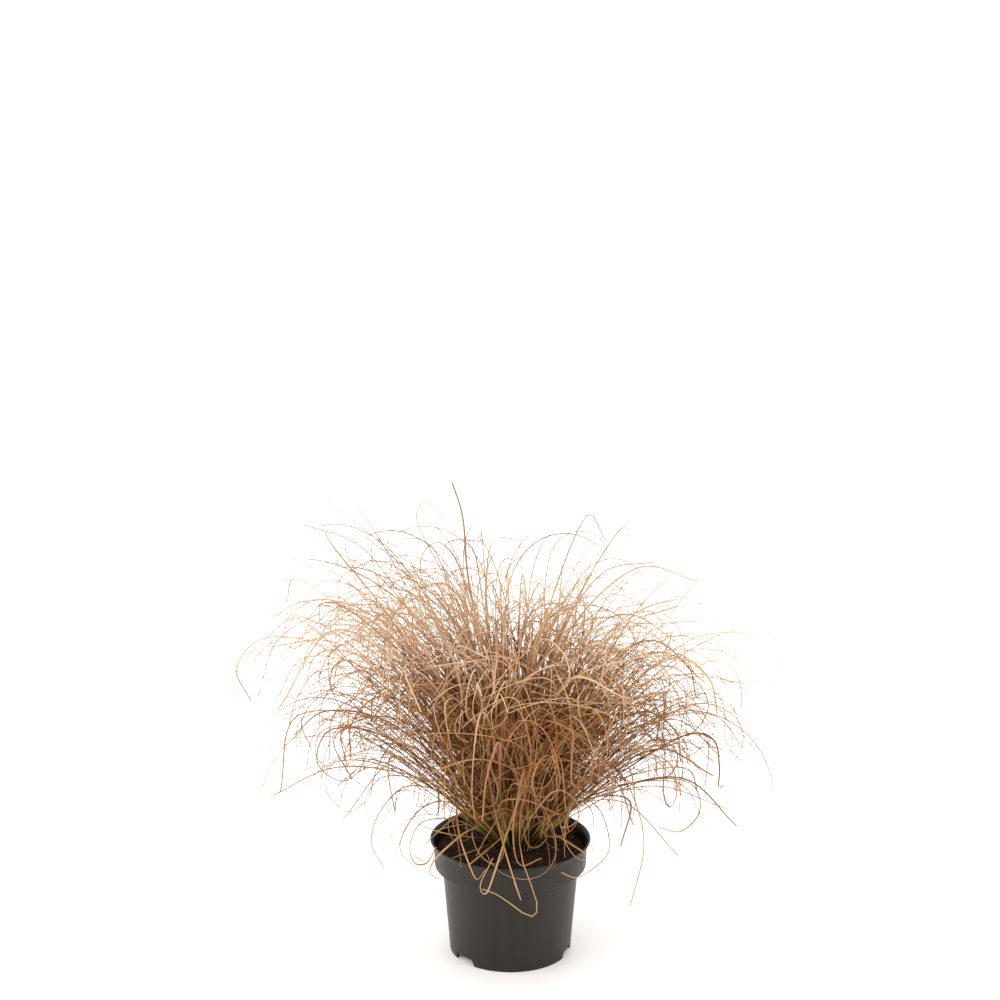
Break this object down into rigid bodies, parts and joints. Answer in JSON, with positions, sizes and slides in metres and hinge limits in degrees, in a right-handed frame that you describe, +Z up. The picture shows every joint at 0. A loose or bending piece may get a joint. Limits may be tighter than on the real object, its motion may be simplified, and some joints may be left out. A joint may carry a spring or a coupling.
{
  "type": "potted sedge",
  "caption": "Bronze carex sedge in a round dark nursery pot: a fountain of long, thin, arching leaves on a tufted crown in dark potting soil.",
  "frame": {"origin": "centre of the pot's foot, on the surface that it stands on", "axes": "+Z up along the pot's axis, -Y towards the front, +X to the right seen from the front"},
  "size_m": [0.577, 0.5773, 0.5061],
  "materials": {
    "pot_plastic": "satin",
    "peat": "matte",
    "leaf": "satin"
  },
  "bodies": {
    "root": {"pot": "pot_plastic", "soil": "peat", "tuft_01": "leaf", "tuft_02": "leaf", "tuft_03": "leaf", "tuft_04": "leaf", "tuft_05": "leaf", "tuft_06": "leaf", "tuft_07": "leaf", "tuft_08": "leaf", "tuft_09": "leaf", "tuft_10": "leaf", "tuft_11": "leaf", "tuft_12": "leaf", "tuft_13": "leaf", "tuft_14": "leaf", "tuft_15": "leaf", "tuft_16": "leaf", "tuft_17": "leaf", "tuft_18": "leaf", "tuft_19": "leaf"}
  },
  "joints": []
}
